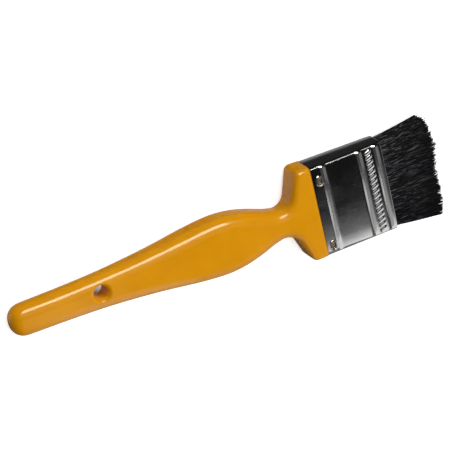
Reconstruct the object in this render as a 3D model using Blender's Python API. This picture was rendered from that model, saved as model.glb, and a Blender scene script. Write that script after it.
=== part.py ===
"""Flat bee brush: a lacquered beavertail handle, a nickel-plated ferrule and a black bristle tuft.

The brush lies on its back face. +X runs along the handle towards the bristles, +Y across the width
and +Z out of the front face. The origin is under the middle of the brush, on the surface it lies on.
"""

import math

import bmesh
import bpy
from mathutils import Matrix, Vector

MM = 0.001

# Lengths along the brush, all measured from the ferrule's handle-side edge.
HANDLE_LENGTH = 167.2 * MM
FERRULE_LENGTH = 40.5 * MM
BRISTLE_LENGTH = 29.3 * MM
OVERALL_LENGTH = HANDLE_LENGTH + FERRULE_LENGTH + BRISTLE_LENGTH

# Ferrule: a flat tube of nickel-plated strip that gets a little thinner towards its mouth.
FERRULE_WIDTH = 50.0 * MM
FERRULE_BACK_THICKNESS = 16.8 * MM
FERRULE_MOUTH_THICKNESS = 14.4 * MM
FERRULE_CORNER_RADIUS = 2.8 * MM
FERRULE_SHEET = 0.45 * MM
BEAD_HEIGHT = 0.45 * MM
BEAD_HALF_WIDTH = 1.5 * MM
BEAD_STATIONS = (6.5 * MM, 27.6 * MM, 37.6 * MM)
ROPE_BAND = (30.9 * MM, 35.3 * MM)
ROPE_BAND_HEIGHT = 0.3 * MM
ROPE_BAND_RAMP = 0.3 * MM

# Handle.
HANG_HOLE_DIAMETER = 8.5 * MM
HANG_HOLE_FROM_TAIL = 48.1 * MM
TENON_LENGTH = 14.0 * MM
BELLY_HALF_THICKNESS = FERRULE_BACK_THICKNESS / 2 + 0.26 * MM
TAIL_ROUNDING = 9.2 * MM
TAIL_SQUARENESS = 0.9  # 1 is an ellipse, less is a squarer tail
NECK_CORNER = (-14.4 * MM, 8.2 * MM)  # where the neck's line meets the shoulder's slope
SHOULDER_CORNER = (-7.9 * MM, FERRULE_WIDTH / 2)
NECK_FILLET_RADIUS = 7.0 * MM
SHOULDER_RADIUS = 5.0 * MM

# (station, half width) along the handle, from behind the rounded tail to the neck.
HANDLE_WIDTHS = (
    (-158.0, 8.4), (-140.0, 8.6), (-119.0, 9.3), (-100.0, 10.6), (-85.0, 12.1), (-70.0, 14.0),
    (-58.0, 15.2), (-50.0, 15.3), (-42.0, 14.3), (-33.0, 12.1), (-26.0, 9.8), (-20.5, 8.4),
)
# (station, half thickness) along the handle; the belly is exactly flat, to rest on.
HANDLE_THICKNESSES = (
    (-167.2, 6.2), (-150.0, 6.6), (-119.0, 6.8), (-90.0, 7.7), (-66.0, 8.66), (-44.0, 8.66),
    (-22.0, 8.0), (-8.0, 8.4), (0.0, 8.4),
)
# (station, edge rounding radius) along the handle: nearly full round, tighter at the shoulder.
HANDLE_EDGE_RADII = (
    (-167.2, 5.2), (-158.0, 5.6), (-119.0, 5.8), (-60.0, 6.0), (-30.0, 6.0), (-20.0, 5.8),
    (-12.0, 3.6), (-6.0, 2.6), (0.0, 2.8),
)

# Nails, two on each face, with sunk oval heads.
NAIL_STATION = 3.6 * MM
NAIL_UPPER_Y = 16.5 * MM
NAIL_LOWER_Y = -19.5 * MM
NAIL_HEAD_LENGTH = 3.8 * MM
NAIL_HEAD_WIDTH = 1.7 * MM
NAIL_HEAD_THICKNESS = 0.4 * MM
NAIL_SHANK_DIAMETER = 1.4 * MM
NAIL_LENGTH = 6.0 * MM
NAIL_HEAD_SINK = 0.1 * MM

# Inside the ferrule: setting resin, a filler strip and the bristles' roots on both sides of it.
RESIN = (14.4 * MM, 20.0 * MM)
FILLER = (20.3 * MM, 31.0 * MM)
FILLER_THICKNESS = 4.0 * MM
FILLER_WIDTH = 46.0 * MM
ROOTS_END = 34.0 * MM

# Free bristles. They bend about a line across the ferrule's mouth.
TUFT_HALF_THICKNESS = 5.9 * MM
TUFT_TIP_HALF_THICKNESS = 5.4 * MM
TUFT_HALF_WIDTH = 24.1 * MM
TUFT_TIP_HALF_WIDTH = 27.6 * MM
TUFT_TIP_BULGE = 2.2 * MM

GAP = 0.3 * MM  # clearance between neighbours that touch on the real brush

# How finely the curved stretches are divided.
TAIL_STEPS = 8
GRIP_STEPS = 42
SHOULDER_STEPS = 6
ARC_STEPS = 5
FACE_STEPS = 4

ORIGIN_X = HANDLE_LENGTH - OVERALL_LENGTH / 2
CENTRE_Z = BELLY_HALF_THICKNESS

MATERIALS = {
    "lacquer": ((0.70, 0.29, 0.008), 0.16, 0.0),
    "nickel": ((0.62, 0.62, 0.62), 0.14, 1.0),
    "brass": ((0.45, 0.33, 0.16), 0.35, 1.0),
    "resin": ((0.55, 0.36, 0.12), 0.30, 0.0),
    "wood": ((0.62, 0.45, 0.26), 0.60, 0.0),
    "bristle": ((0.012, 0.011, 0.013), 0.45, 0.0),
}


def clear_scene():
    for obj in list(bpy.data.objects):
        bpy.data.objects.remove(obj, do_unlink=True)


def material(name):
    """The named Principled material, made on first use."""
    found = bpy.data.materials.get(name)
    if found:
        return found
    colour, roughness, metallic = MATERIALS[name]
    made = bpy.data.materials.new(name)
    made.use_nodes = True
    shader = made.node_tree.nodes["Principled BSDF"]
    shader.inputs["Base Color"].default_value = (*colour, 1.0)
    shader.inputs["Roughness"].default_value = roughness
    shader.inputs["Metallic"].default_value = metallic
    return made


def curve_value(knots, station):
    """Smooth value through (station, value) knots in millimetres, by cubic Hermite pieces."""
    x = station / MM
    if x <= knots[0][0]:
        return knots[0][1] * MM
    if x >= knots[-1][0]:
        return knots[-1][1] * MM
    slopes = []
    for i in range(len(knots)):
        before = knots[max(i - 1, 0)]
        after = knots[min(i + 1, len(knots) - 1)]
        slopes.append((after[1] - before[1]) / (after[0] - before[0]))
    for i in range(1, len(knots)):
        if knots[i][1] == knots[i - 1][1]:  # a level stretch stays exactly level
            slopes[i] = slopes[i - 1] = 0.0
    i = max(k for k in range(len(knots) - 1) if knots[k][0] <= x)
    (x0, y0), (x1, y1) = knots[i], knots[i + 1]
    span = x1 - x0
    t = (x - x0) / span
    value = (
        y0 * (2 * t**3 - 3 * t**2 + 1) + y1 * (3 * t**2 - 2 * t**3)
        + span * slopes[i] * (t**3 - 2 * t**2 + t) + span * slopes[i + 1] * (t**3 - t**2)
    )
    return value * MM


def fillet(before, corner, after, radius, steps):
    """Points of the arc that rounds a corner of a polyline."""
    before, corner, after = Vector(before), Vector(corner), Vector(after)
    to_before = (before - corner).normalized()
    to_after = (after - corner).normalized()
    half_angle = to_before.angle(to_after) / 2
    reach = radius / math.tan(half_angle)
    centre = corner + (to_before + to_after).normalized() * radius / math.sin(half_angle)
    start = corner + to_before * reach - centre
    turn = start.angle_signed(corner + to_after * reach - centre)
    return [tuple(centre + Matrix.Rotation(-turn * k / steps, 2) @ start) for k in range(steps + 1)]


def handle_outline():
    """(x, half width) points of half the handle's outline, from the tail's tip to the ferrule."""
    tail = -HANDLE_LENGTH
    tail_end = tail + TAIL_ROUNDING
    tail_width = curve_value(HANDLE_WIDTHS, tail_end)
    neck = HANDLE_WIDTHS[-1][0] * MM
    points = []
    for k in range(TAIL_STEPS):
        angle = k / TAIL_STEPS * math.pi / 2
        x = tail + TAIL_ROUNDING * (1 - math.cos(angle) ** TAIL_SQUARENESS)
        points.append((x, tail_width * math.sin(angle) ** TAIL_SQUARENESS))
    for k in range(GRIP_STEPS + 1):
        x = tail_end + (neck - tail_end) * k / GRIP_STEPS
        points.append((x, curve_value(HANDLE_WIDTHS, x)))
    end = (0.0, FERRULE_WIDTH / 2)
    points += fillet(points[-1], NECK_CORNER, SHOULDER_CORNER, NECK_FILLET_RADIUS, SHOULDER_STEPS)
    points += fillet(NECK_CORNER, SHOULDER_CORNER, end, SHOULDER_RADIUS, SHOULDER_STEPS)
    points.append(end)
    return points


def outline_normal(points, i):
    """Outward unit normal of the +Y half of the outline at point i."""
    if i == 0:
        return Vector((-1.0, 0.0))
    if i == len(points) - 1:
        return Vector((0.0, 1.0))
    along = Vector(points[i + 1]) - Vector(points[i - 1])
    return Vector((-along.y, along.x)).normalized()


def edge_section(x, y, normal, radius, half_thickness_at):
    """One closed ring of the handle: rounded edges that lean along the outline's normal, and flat faces."""
    quarter = []
    for k in range(ARC_STEPS + 1):
        angle = k / ARC_STEPS * math.pi / 2
        inset = radius * (1 - math.cos(angle))
        px = x - normal.x * inset
        py = y - normal.y * inset
        quarter.append((px, py, half_thickness_at(px) - radius * (1 - math.sin(angle))))
    top_x, top_y, top_z = quarter[-1]
    across = [(top_x, top_y * (1 - 2 * k / FACE_STEPS), top_z) for k in range(1, FACE_STEPS)]
    upper = quarter + across + [(px, -py, pz) for px, py, pz in reversed(quarter)]
    return upper + [(px, py, -pz) for px, py, pz in reversed(upper)]


def placed(point):
    """A point given from the ferrule's edge and the mid plane, moved into the brush's own frame."""
    return (point[0] + ORIGIN_X, point[1], point[2] + CENTRE_Z)


def loft(name, rings, slot, caps=(True, True), closed_tube=False):
    """A solid through rings with the same number of points, closed by flat caps or back on itself."""
    mesh = bpy.data.meshes.new(name)
    bm = bmesh.new()
    loops = [[bm.verts.new(placed(p)) for p in ring] for ring in rings]
    count = len(rings[0])
    pairs = list(zip(loops, loops[1:]))
    if closed_tube:
        pairs.append((loops[-1], loops[0]))
    for first, second in pairs:
        for k in range(count):
            n = (k + 1) % count
            bm.faces.new((first[k], first[n], second[n], second[k]))
    if not closed_tube:
        if caps[0]:
            bm.faces.new(list(reversed(loops[0])))
        if caps[1]:
            bm.faces.new(loops[-1])
    bmesh.ops.remove_doubles(bm, verts=bm.verts, dist=1e-7)
    bmesh.ops.recalc_face_normals(bm, faces=bm.faces)
    bm.to_mesh(mesh)
    bm.free()
    mesh.shade_smooth()
    mesh.set_sharp_from_angle(angle=math.radians(35))
    mesh.materials.append(material(slot))
    obj = bpy.data.objects.new(name, mesh)
    bpy.context.scene.collection.objects.link(obj)
    return obj


def cut(obj, cutter):
    """Cuts a hidden helper out of a piece."""
    cutter.hide_render = True
    cutter.display_type = "WIRE"
    modifier = obj.modifiers.new("cut_" + cutter.name, "BOOLEAN")
    modifier.operation = "DIFFERENCE"
    modifier.solver = "EXACT"
    modifier.object = cutter


def rounded_rectangle(x, half_width, half_thickness, radius, arc_steps=6):
    """A ring across the brush, counter-clockwise seen from the bristles."""
    ring = []
    corners = ((1, 1, 0), (-1, 1, 90), (-1, -1, 180), (1, -1, 270))
    for side_y, side_z, start in corners:
        for k in range(arc_steps + 1):
            angle = math.radians(start + 90 * k / arc_steps)
            y = side_y * (half_width - radius) + radius * math.cos(angle)
            z = side_z * (half_thickness - radius) + radius * math.sin(angle)
            ring.append((x, y, z))
    return ring


def ferrule_half_thickness(x):
    """Half the ferrule's outer thickness at a station, without its beads."""
    share = min(max(x / FERRULE_LENGTH, 0.0), 1.0)
    return (FERRULE_BACK_THICKNESS * (1 - share) + FERRULE_MOUTH_THICKNESS * share) / 2


def bead_height(x):
    """How far the beads and the rope band stand proud at a station."""
    height = 0.0
    for centre in BEAD_STATIONS:
        offset = abs(x - centre) / BEAD_HALF_WIDTH
        if offset < 1:
            height = BEAD_HEIGHT * math.cos(offset * math.pi / 2) ** 1.2
    into_band = min(x - ROPE_BAND[0], ROPE_BAND[1] - x) + ROPE_BAND_RAMP
    if into_band > 0:
        height = ROPE_BAND_HEIGHT * min(into_band / ROPE_BAND_RAMP, 1.0)
    return height


def ferrule_stations():
    """Stations of the outer surface: close together over each bead, far apart between them."""
    stations = {GAP, FERRULE_LENGTH, *ROPE_BAND}
    stations |= {ROPE_BAND[0] - ROPE_BAND_RAMP, ROPE_BAND[1] + ROPE_BAND_RAMP}
    for centre in BEAD_STATIONS:
        stations |= {centre + k / 4 * BEAD_HALF_WIDTH for k in range(-4, 5)}
    return sorted(stations)


def ferrule_ring(x):
    """Outer ring: the beads stand out of both faces and fade away round the corners."""
    half = ferrule_half_thickness(x)
    ring = []
    for px, y, z in rounded_rectangle(x, FERRULE_WIDTH / 2, half, FERRULE_CORNER_RADIUS):
        facing = min(abs(z) / half, 1.0) ** 4
        ring.append((px, y, z + math.copysign(bead_height(x) * facing, z)))
    return ring


def inner_ring(x, gap=0.0):
    """Ring of the ferrule's inner surface, or one that keeps a gap to it."""
    inset = FERRULE_SHEET + gap
    radius = FERRULE_CORNER_RADIUS - inset
    return rounded_rectangle(x, FERRULE_WIDTH / 2 - inset, ferrule_half_thickness(x) - inset, radius)


def oval_ring(x, y, z, length, width, arc_steps=8):
    """A stadium-shaped ring in the plane of the face, long across the brush."""
    radius = width / 2
    ring = []
    for side, start in ((1, 0), (-1, 180)):
        for k in range(arc_steps + 1):
            angle = math.radians(start + 180 * k / arc_steps)
            ring.append((x + radius * math.cos(angle), y + side * (length / 2 - radius) + radius * math.sin(angle), z))
    return ring


def oval_plug(name, x, y, low, high, length, width, slot):
    return loft(name, [oval_ring(x, y, low, length, width), oval_ring(x, y, high, length, width)], slot)


def nail_positions():
    """(name, y, side) of every nail; side is +1 on the front face and -1 on the back."""
    return [
        (f"nail_{face}_{place}", y, side)
        for face, side in (("front", 1), ("back", -1))
        for place, y in (("upper", NAIL_UPPER_Y), ("lower", NAIL_LOWER_Y))
    ]


def make_handle():
    outline = handle_outline()
    rings = []
    for i, (x, y) in enumerate(outline):
        radius = curve_value(HANDLE_EDGE_RADII, x)
        rings.append(edge_section(x, y, outline_normal(outline, i), radius,
                                  lambda px: curve_value(HANDLE_THICKNESSES, px)))
    for x in (0.0, TENON_LENGTH):  # the tenon steps in, to fit inside the ferrule
        inset = FERRULE_SHEET + GAP
        half = ferrule_half_thickness(x) - inset
        rings.append(edge_section(x, FERRULE_WIDTH / 2 - inset, Vector((0.0, 1.0)),
                                  FERRULE_CORNER_RADIUS - inset, lambda px, h=half: h))
    handle = loft("handle", rings, "lacquer", caps=(False, True))
    hole = oval_plug("hang_hole_cutter", HANG_HOLE_FROM_TAIL - HANDLE_LENGTH, 0.0, -0.02, 0.02,
                     HANG_HOLE_DIAMETER + 0.001 * MM, HANG_HOLE_DIAMETER, "lacquer")
    cut(handle, hole)
    drill = NAIL_SHANK_DIAMETER + 2 * GAP
    for name, y, side in nail_positions():
        low, high = sorted((side * 0.012, side * (FERRULE_BACK_THICKNESS / 2 - NAIL_LENGTH - 2 * GAP)))
        cut(handle, oval_plug(name + "_bore", NAIL_STATION, y, low, high, drill + 0.001 * MM, drill, "lacquer"))
    return handle


def make_ferrule():
    outer = [ferrule_ring(x) for x in ferrule_stations()]
    inner = [inner_ring(x) for x in (FERRULE_LENGTH, FERRULE_LENGTH / 2, GAP)]
    ferrule = loft("ferrule", outer + inner, "nickel", closed_tube=True)
    for name, y, side in nail_positions():
        low, high = sorted((side * 0.006, side * 0.012))
        cut(ferrule, oval_plug(name + "_seat", NAIL_STATION, y, low, high,
                               NAIL_HEAD_LENGTH + 2 * GAP, NAIL_HEAD_WIDTH + 2 * GAP, "nickel"))
    return ferrule


def make_nail(name, y, side):
    """A pin with an oval head that sits just below the ferrule's face."""
    face = ferrule_half_thickness(NAIL_STATION) - NAIL_HEAD_SINK
    under = face - NAIL_HEAD_THICKNESS
    tip = face - NAIL_LENGTH
    shank = NAIL_SHANK_DIAMETER
    rings = [
        oval_ring(NAIL_STATION, y, side * face, NAIL_HEAD_LENGTH, NAIL_HEAD_WIDTH),
        oval_ring(NAIL_STATION, y, side * under, NAIL_HEAD_LENGTH, NAIL_HEAD_WIDTH),
        oval_ring(NAIL_STATION, y, side * under, shank + 0.001 * MM, shank),
        oval_ring(NAIL_STATION, y, side * (tip + 1.2 * MM), shank + 0.001 * MM, shank),
        oval_ring(NAIL_STATION, y, side * tip, shank / 3 + 0.001 * MM, shank / 3),
    ]
    return loft(name, rings, "brass")


def make_inner_block(name, x_range, slot):
    """A block that fills the ferrule's inside over a range of stations."""
    return loft(name, [inner_ring(x, GAP) for x in x_range], slot)


def make_filler():
    ends = [
        rounded_rectangle(x, FILLER_WIDTH / 2, FILLER_THICKNESS / 2, 0.8 * MM, arc_steps=3) for x in FILLER
    ]
    return loft("filler_strip", ends, "wood")


def half_ring(x, half_width, low, high, radius, side, arc_steps=5):
    """A ring for one of the two bristle bundles: flat towards the mid plane, rounded at its outer corners."""
    ring = [(x, half_width, low)]
    for k in range(arc_steps + 1):
        angle = k / arc_steps * math.pi / 2
        ring.append((x, half_width - radius * (1 - math.cos(angle)), high - radius * (1 - math.sin(angle))))
    ring += [(x, half_width * (1 - 2 * k / 6), high) for k in range(1, 6)]
    for k in range(arc_steps, -1, -1):
        angle = k / arc_steps * math.pi / 2
        ring.append((x, -half_width + radius * (1 - math.cos(angle)), high - radius * (1 - math.sin(angle))))
    ring.append((x, -half_width, low))
    ring += [(x, -half_width * (1 - 2 * k / 6), low) for k in range(1, 6)]
    return [(px, y, side * z) for px, y, z in ring]


def make_roots(name, side):
    """Bristle roots beside the filler strip, from the resin to just below the bend."""
    rings = []
    for x in (RESIN[1] + GAP, ROOTS_END):
        high = ferrule_half_thickness(x) - FERRULE_SHEET - GAP
        radius = FERRULE_CORNER_RADIUS - FERRULE_SHEET - GAP
        half_width = FERRULE_WIDTH / 2 - FERRULE_SHEET - GAP
        rings.append(half_ring(x, half_width, FILLER_THICKNESS / 2 + GAP, high, radius, side))
    return loft(name, rings, "bristle")


def make_tuft(name, side, hinge):
    """One layer of free bristles. Its root is round about the bend line, so that it turns in the mouth."""
    rings = []
    root = TUFT_HALF_THICKNESS
    low = GAP / 2
    for k in range(1, 7):
        angle = k / 6 * math.pi / 2
        high = root * math.sin(angle)
        radius = min(3.0 * MM, (high - low) * 0.9)
        half_width = TUFT_HALF_WIDTH - 3.0 * MM * (1 - math.sin(angle))
        rings.append(half_ring(FERRULE_LENGTH - root * math.cos(angle), half_width, low, high, radius, side))
    steps = 6
    for k in range(1, steps + 1):
        u = k / steps
        half_width = TUFT_HALF_WIDTH + (TUFT_TIP_HALF_WIDTH - TUFT_HALF_WIDTH) * u
        high = root + (TUFT_TIP_HALF_THICKNESS - root) * u
        ring = half_ring(FERRULE_LENGTH + BRISTLE_LENGTH * u, half_width, low, high, 3.0 * MM, side)
        rings.append([(x - TUFT_TIP_BULGE * u * (y / half_width) ** 2, y, z) for x, y, z in ring])
    tuft = loft(name, rings, "bristle")
    tuft.parent = hinge
    tuft.matrix_parent_inverse = hinge.matrix_basis.inverted()
    return tuft


def make_hinge():
    """Empty on the line that the free bristles bend about, across the ferrule's mouth."""
    hinge = bpy.data.objects.new("tuft_hinge", None)
    hinge.location = placed((FERRULE_LENGTH, 0.0, 0.0))
    bpy.context.scene.collection.objects.link(hinge)
    return hinge


def main():
    clear_scene()
    make_handle()
    make_ferrule()
    for name, y, side in nail_positions():
        make_nail(name, y, side)
    make_inner_block("setting_resin", RESIN, "resin")
    make_filler()
    hinge = make_hinge()
    for face, side in (("front", 1), ("back", -1)):
        make_roots("bristle_roots_" + face, side)
        make_tuft("bristle_tuft_" + face, side, hinge)


main()
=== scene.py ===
"""Looks of the flat bee brush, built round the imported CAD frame.

The brush lies along +X with its bristles at the +X end, +Y across its width and +Z out of its front face.
Lengths are in metres. Stations along the brush are measured from the ferrule's handle-side edge.
"""

import math

import bmesh
import bpy
import numpy as np
from mathutils import Euler, Matrix, Vector


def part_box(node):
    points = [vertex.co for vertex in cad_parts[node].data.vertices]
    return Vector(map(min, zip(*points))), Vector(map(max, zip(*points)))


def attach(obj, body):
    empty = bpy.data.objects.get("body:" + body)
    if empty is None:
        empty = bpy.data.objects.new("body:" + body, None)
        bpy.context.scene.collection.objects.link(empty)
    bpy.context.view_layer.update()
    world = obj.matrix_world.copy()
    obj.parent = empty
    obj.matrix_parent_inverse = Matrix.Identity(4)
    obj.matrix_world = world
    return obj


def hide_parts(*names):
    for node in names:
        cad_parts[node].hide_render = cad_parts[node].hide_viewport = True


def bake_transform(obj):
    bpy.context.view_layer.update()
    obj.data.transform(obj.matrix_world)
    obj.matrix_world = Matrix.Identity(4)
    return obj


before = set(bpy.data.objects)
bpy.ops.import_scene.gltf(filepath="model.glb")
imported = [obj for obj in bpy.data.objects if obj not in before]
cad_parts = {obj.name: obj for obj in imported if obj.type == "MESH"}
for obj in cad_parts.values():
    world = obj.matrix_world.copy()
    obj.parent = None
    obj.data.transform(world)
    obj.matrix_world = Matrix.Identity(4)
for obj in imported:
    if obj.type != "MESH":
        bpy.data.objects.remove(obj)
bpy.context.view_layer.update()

MM = 0.001
SEED = 7

# The frame gives the places that everything is measured from.
FERRULE_LOW, FERRULE_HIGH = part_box("ferrule")
HANDLE_LOW, HANDLE_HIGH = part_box("handle")
TUFT_LOW, TUFT_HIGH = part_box("bristle_tuft_front")
TENON_LENGTH = 14.0 * MM
GAP = 0.3 * MM  # clearance between neighbours
ORIGIN_X = HANDLE_HIGH.x - TENON_LENGTH  # the ferrule's handle-side edge
HANDLE_LENGTH = ORIGIN_X - HANDLE_LOW.x
FERRULE_LENGTH = FERRULE_HIGH.x - ORIGIN_X
FERRULE_WIDTH = FERRULE_HIGH.y - FERRULE_LOW.y
CENTRE_Z = (FERRULE_LOW.z + FERRULE_HIGH.z) / 2
CUTTER_REACH = 12 * MM  # from the mid plane to well past either face

# Ferrule.
FERRULE_BACK_THICKNESS = 16.8 * MM
FERRULE_MOUTH_THICKNESS = 14.4 * MM
FERRULE_CORNER_RADIUS = 2.8 * MM
FERRULE_SHEET = 0.45 * MM
BEAD_HEIGHT = 0.45 * MM
BEAD_RISE = 1.25 * MM  # from each bead's foot on the handle side up to its crest
BEAD_FALL = 1.9 * MM
BEAD_STATIONS = (6.5 * MM, 27.4 * MM, 37.0 * MM)  # of the beads' crests
CROWN = 0.6 * MM  # how far each face falls away towards its long edges
SIDE_BULGE = 0.6 * MM  # how far the narrow sides fall away towards the faces
MOUTH_ROLL = 0.5 * MM  # length over which the mouth's edge turns in
MOUTH_TURN_IN = 0.25 * MM  # how far it turns in
MOUTH_STEPS = 6
FERRULE_SHARP = 50  # degrees between faces above which an edge is drawn sharp

# Where the ferrule's outer surface has rings, close together where it has relief.
SEAT_STATIONS = (1.2 * MM, 0.2 * MM, 26)  # start, step and count
PLAIN_STATIONS = (8.4 * MM, 1.2 * MM, 16)
BEAD_RISE_SHARES = (0.08, 0.2, 0.35, 0.5, 0.65, 0.8, 0.92, 1.0)
BEAD_FALL_SHARES = (0.0, 0.045, 0.12, 0.25, 0.4, 0.55, 0.7, 0.85, 0.95, 1.0)
ROPE_SPAN = 2.5 * MM  # on each side of the rope band's middle
ROPE_STEPS = 20
LEAST_SPACING = 0.08 * MM

# Rope band: slanted ridges side by side across the width, between the second and third beads.
ROPE_STATION = 32.5 * MM
ROPE_RIDGES = 17
ROPE_PITCH = 2.68 * MM
ROPE_SLANT = math.radians(21)
ROPE_HALF_LENGTH = 2.35 * MM
ROPE_HALF_WIDTH = 1.2 * MM
ROPE_HEIGHT = 0.36 * MM
ROPE_SHOULDER = 0.8  # share of each ridge's half width that its sloping sides take

# Nails and the oval seats that are punched for them.
NAIL_STATION = 3.6 * MM
NAIL_UPPER_Y = 16.5 * MM
NAIL_LOWER_Y = -19.5 * MM
NAILS = (  # (name, side of the mid plane, place across)
    ("front_upper", 1, NAIL_UPPER_Y), ("front_lower", 1, NAIL_LOWER_Y),
    ("back_upper", -1, NAIL_UPPER_Y), ("back_lower", -1, NAIL_LOWER_Y),
)
NAIL_HEAD_LENGTH = 3.8 * MM
NAIL_HEAD_WIDTH = 1.7 * MM
NAIL_HEAD_THICKNESS = 0.4 * MM
NAIL_SHANK_RADIUS = 0.7 * MM
NAIL_LENGTH = 6.0 * MM
NAIL_TIP_LENGTH = 1.2 * MM
NAIL_SINK = 0.1 * MM
NAIL_DISH = (  # the head's section: (depth below its rim, inset from its edge), in millimetres
    (0.34, 0.82), (0.34, 0.62), (0.30, 0.48), (0.18, 0.36), (0.05, 0.27), (0.0, 0.20),
    (0.03, 0.10), (0.12, 0.03), (0.22, 0.0), (0.4, 0.0),
)
SEAT_RIM_HEIGHT = 0.35 * MM
SEAT_RIM_WIDTH = 0.5 * MM
SEAT_CUT_START = 6 * MM  # from the mid plane to well inside the ferrule's sheet
NEARLY_ROUND = 0.001 * MM  # how much longer than wide a round ring is, so that no two points coincide

# Handle.
HANG_HOLE_RADIUS = 3.75 * MM
HANG_HOLE_FROM_TAIL = 47.3 * MM
HANG_HOLE_Y = 0.6 * MM
HANG_HOLE_LIP = 2.3 * MM  # radius of its rounded lip
LIP_START = 14  # degrees round the lip where the cutter starts, a little past tangent to the face
CUTTER_FLARE = 1.02  # how much wider the cutter is beyond the face than at it
TAIL_ROUNDING = 9.2 * MM  # length of the rounded tail
TAIL_SQUARENESS = 0.86  # 1 is an ellipse, less is a squarer tail
TAIL_EXTRA = 0.5 * MM  # how far the tail reaches past the CAD tail
NECK_CORNER = (-14.4 * MM, 8.2 * MM)  # where the neck's line meets the shoulder's slope
SHOULDER_CORNER = (-7.8 * MM, FERRULE_WIDTH / 2)
NECK_FILLET_RADIUS = 7.0 * MM
SHOULDER_RADIUS = 3.4 * MM
END_ROUNDING = 0.6 * MM  # of the handle's edge at the ferrule
END_STEPS = 4
TENON_SLACK = 0.3 * MM  # more room above and below the tenon than the gap gives
HANDLE_SHARP = 35  # degrees, as FERRULE_SHARP

# Half widths, half thicknesses and edge radii, as knots of (station, value) in millimetres.
HANDLE_WIDTHS = (
    (-158.0, 8.4), (-140.0, 8.6), (-119.0, 9.3), (-100.0, 10.6), (-85.0, 12.1), (-70.0, 14.0),
    (-58.0, 15.2), (-50.0, 15.3), (-42.0, 14.3), (-33.0, 12.1), (-26.0, 9.8), (-20.5, 8.4),
)
HANDLE_THICKNESSES = (
    (-167.2, 6.2), (-150.0, 6.6), (-119.0, 6.8), (-90.0, 7.7), (-66.0, 8.66), (-44.0, 8.66),
    (-22.0, 8.0), (-8.0, 8.4), (0.0, 8.4),
)
HANDLE_EDGE_RADII = (
    (-167.2, 5.7), (-158.0, 6.0), (-119.0, 6.0), (-60.0, 6.0), (-30.0, 6.0), (-20.0, 5.8), (-12.0, 3.6),
    (-6.0, 2.6), (0.0, 2.8),
)

# How far the hand-finished grip stands off the middle line, towards -Y, and is slimmer for it, as such knots.
HANDLE_SWAY = (
    (-167.2, 0.0), (-150.0, 0.05), (-60.0, 0.05), (-40.0, 0.2), (-29.0, 0.45), (-21.0, 0.6),
    (-15.0, 0.6), (-9.0, 0.0),
)

# Bristles.
STRAND_RADIUS = 0.2 * MM
STRAND_SPACING = 0.42 * MM
STRAND_SIDES = 5
STRAND_RINGS = 9
ROOT_JITTER_Y = 0.09 * MM
ROOT_JITTER_Z = 0.07 * MM
BUNDLE_START = 34.6 * MM  # just past the roots, inside the ferrule
TIP_STATION = 70.2 * MM  # the trimmed edge at the middle of the width
TIP_SLOPE = 0.052  # how much longer the tuft gets towards +Y, for each metre across
TIP_WIDENING = 1.135  # width at the tips over width at the mouth
TIP_THINNING = 0.74  # the same for the thickness
UPPER_CORNER_CUT = (4.2 * MM, 0.52, 1.6)  # how much shorter, from which share of the half width, curve
LOWER_CORNER_CUT = (0.9 * MM, 0.8, 2)
BACK_CUT = 1.0 * MM  # how much shorter the tuft is at its back face
TIP_DIP = (0.8 * MM, -4 * MM, 7 * MM)  # depth, place across and breadth of the dip in the trimmed edge
UPPER_FLARE = 0.08  # how much wider still the +Y side gets at the tips
EDGE_DROP = 1.1 * MM  # how far inside the ferrule's side walls the tuft's edges leave it

# Clumps of strands: their size, how much their lengths differ, and how much a clump is domed and gathered.
CLUMP_SIZE = 1.8 * MM
CLUMP_TIPS = 0.55 * MM
CLUMP_DOME = 0.7 * MM
CLUMP_GATHER = 0.22

# Single strands: how far they are off their clump's length, lean and straightness.
STRAND_TIPS = (-0.1 * MM, 0.32 * MM)  # mean and spread
LONGEST_EXTRA = 0.7 * MM
SHORT_TIPS = 0.2 * MM  # mean of a further shortening, which few strands have much of
STRAY_SHARE = 0.02
STRAY_LENGTH = 1.0 * MM
LEAN_Y = (0.35 * MM, 0.35 * MM)  # of clumps and of single strands, at the tips
LEAN_Z = (0.25 * MM, 0.22 * MM)
WAVES = (0.7, 1.5)  # least and most in a strand's free length
SWING = 0.13 * MM  # spread of how deep the waves are
STRAND_TAPER = (0.15, 0.5, 12)  # lost evenly, lost at the tip, and how near the tip that is

# Studio. Directions point from the brush, and places are in the frame.
CAMERA_LENS = 204.7  # in millimetres, on a sensor of 36
CAMERA_PLACE = (-0.3605, 0.5029, 1.1346)
CAMERA_TURN = (-17.936, -22.573, -13.673)  # in degrees
FLOOR_HALF_SIZE = 8.0
FLOOR_GLOW = 0.65
FAR_GLOW = 1.1
FAR_RANGE = (0.3, 1.2)  # distances between which the glow rises to that
# the painted shadow on the floor under the hang hole: where its darkest point is, and the distances over
# which it fades
HOLE_SHADE_OFFSET = (0.4 * MM, -5.6 * MM)  # of the floor's darkest point, from the hang hole's axis
HOLE_SHADE_RANGE = (0.5 * MM, 8 * MM)
KEY_DIRECTION = Vector((0.282, 0.694, 0.663))
KEY_SIZE = (2.8, 0.8)
KEY_RADIANCE = 7.0
STRIP_DIRECTION = Vector((0.282, 0.672, 0.685))
STRIP_DISTANCE = 0.9
STRIP_SIZE = (0.50, 0.34)
STRIP_RADIANCE = 10.5
STRIP_COLOUR = (0.9, 1.0, 0.8)
STRIP_END = 0.335  # its end towards +X
LIGHT_DISTANCE = 3.0
FILLS = (  # (name, direction, radiance)
    ("edge_fill", (0.0, 0.97, 0.2), 0.6),
    ("overhead", (0.25, 0.05, 1.0), 3.2),
    ("fill", (0.35, -0.9, 0.45), 2.6),
)
FILL_SIZE = (2.0, 2.0)
CARD_Y = -0.15  # where the cards stand, upright along the brush
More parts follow.
